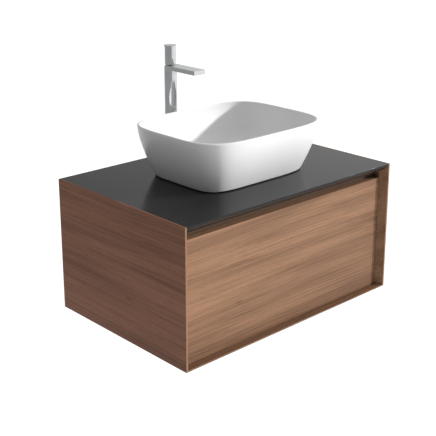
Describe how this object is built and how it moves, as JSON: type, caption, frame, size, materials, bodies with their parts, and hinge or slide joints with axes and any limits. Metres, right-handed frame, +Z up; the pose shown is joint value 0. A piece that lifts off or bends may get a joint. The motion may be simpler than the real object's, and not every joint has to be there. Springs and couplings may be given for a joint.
{
  "type": "vessel sink on vanity",
  "caption": "Wall-hung wooden vanity with a handleless drawer, a vessel basin on a dark worktop, a tall mixer with a flat spout, and the waste and trap inside.",
  "frame": {"origin": "on the wall plane, midway between the two wall-plate screws, at mid-width of the cabinet", "axes": "+Z up, +Y into the wall (the front is at -Y), +X to the right as seen by the user"},
  "size_m": [0.7, 0.505, 0.635],
  "materials": {
    "walnut": "matt veneer, grain running left to right",
    "worktop_grey": "dark grey satin laminate",
    "carcass_board": "faced board, plain",
    "drawer_board": "grey faced board",
    "beech": "plain",
    "zinc_steel": "zinc plated",
    "ceramic_white": "gloss glaze",
    "silicone": "dark silicone",
    "black_rubber": "matt",
    "chrome": "polished",
    "brass_part": "turned",
    "plastic_part": "moulded"
  },
  "bodies": {
    "cabinet": {"side_panel_left": "walnut", "side_panel_right": "walnut", "bottom_panel": "walnut", "front_rail": "walnut", "worktop": "worktop_grey", "hanging_rail": "carcass_board", "lower_rail": "carcass_board", "carcass_dowels": "beech", "cabinet_hangers": "zinc_steel", "wall_plates": "zinc_steel", "runner_screws": "zinc_steel", "runner_cabinet_left": "zinc_steel", "runner_cabinet_right": "zinc_steel", "tap_steel_washer": "zinc_steel", "vessel_basin": "ceramic_white", "basin_seal": "silicone", "waste_upper_gasket": "black_rubber", "waste_lower_gasket": "black_rubber", "tap_rubber_washer": "black_rubber", "waste_body": "chrome", "tailpiece": "chrome", "waste_coupling_nut": "chrome", "trap_inlet_nut": "chrome", "trap_body": "chrome", "trap_cup": "chrome", "trap_outlet_nut": "chrome", "outlet_pipe": "chrome", "wall_escutcheon": "chrome", "tap_column": "chrome", "spout": "chrome", "tap_base_ring": "chrome", "waste_nut": "brass_part", "tap_shank": "brass_part", "tap_nut": "brass_part", "cartridge_nut": "brass_part", "plug_guide": "plastic_part", "aerator": "plastic_part", "cartridge_body": "plastic_part"},
    "middle_runners": {"runner_middle_left": "zinc_steel", "runner_middle_right": "zinc_steel"},
    "drawer": {"drawer_front": "walnut", "drawer_side_left": "drawer_board", "drawer_side_right": "drawer_board", "drawer_bottom": "drawer_board", "drawer_back_left": "drawer_board", "drawer_back_right": "drawer_board", "drawer_recess_left": "drawer_board", "drawer_recess_right": "drawer_board", "drawer_recess_front": "drawer_board", "drawer_dowels": "beech", "runner_drawer_left": "zinc_steel", "runner_drawer_right": "zinc_steel", "drawer_runner_screws": "zinc_steel"},
    "plug": {"waste_plug": "chrome"},
    "tap_swivel": {"swivel_stem": "brass_part", "handle_pivot_pin": "brass_part"},
    "tap_handle": {"handle_lever": "brass_part", "handle_knob": "chrome", "handle_cap": "chrome", "handle_grub_screw": "chrome"}
  },
  "joints": [
    {"name": "drawer_slide", "type": "slide", "parent": "cabinet", "child": "drawer", "axis": [0, -1, 0], "range_m": [0, 0.36]},
    {"name": "middle_runner_slide", "type": "slide", "parent": "cabinet", "child": "middle_runners", "axis": [0, -1, 0], "range_m": [0, 0.18]},
    {"name": "plug_lift", "type": "slide", "parent": "cabinet", "child": "plug", "axis": [0, 0, 1], "range_m": [0, 0.009]},
    {"name": "tap_turn", "type": "hinge", "parent": "cabinet", "child": "tap_swivel", "pos_m": [-0.013, -0.03, 0.3258], "axis": [0, 0, 1], "range_deg": [-45, 45]},
    {"name": "tap_tilt", "type": "hinge", "parent": "tap_swivel", "child": "tap_handle", "pos_m": [-0.013, -0.03, 0.3258], "axis": [1, 0, 0], "range_deg": [0, 12]}
  ],
  "couplings": [
    {"joint": "middle_runner_slide", "follows": "drawer_slide", "ratio": 0.5}
  ]
}
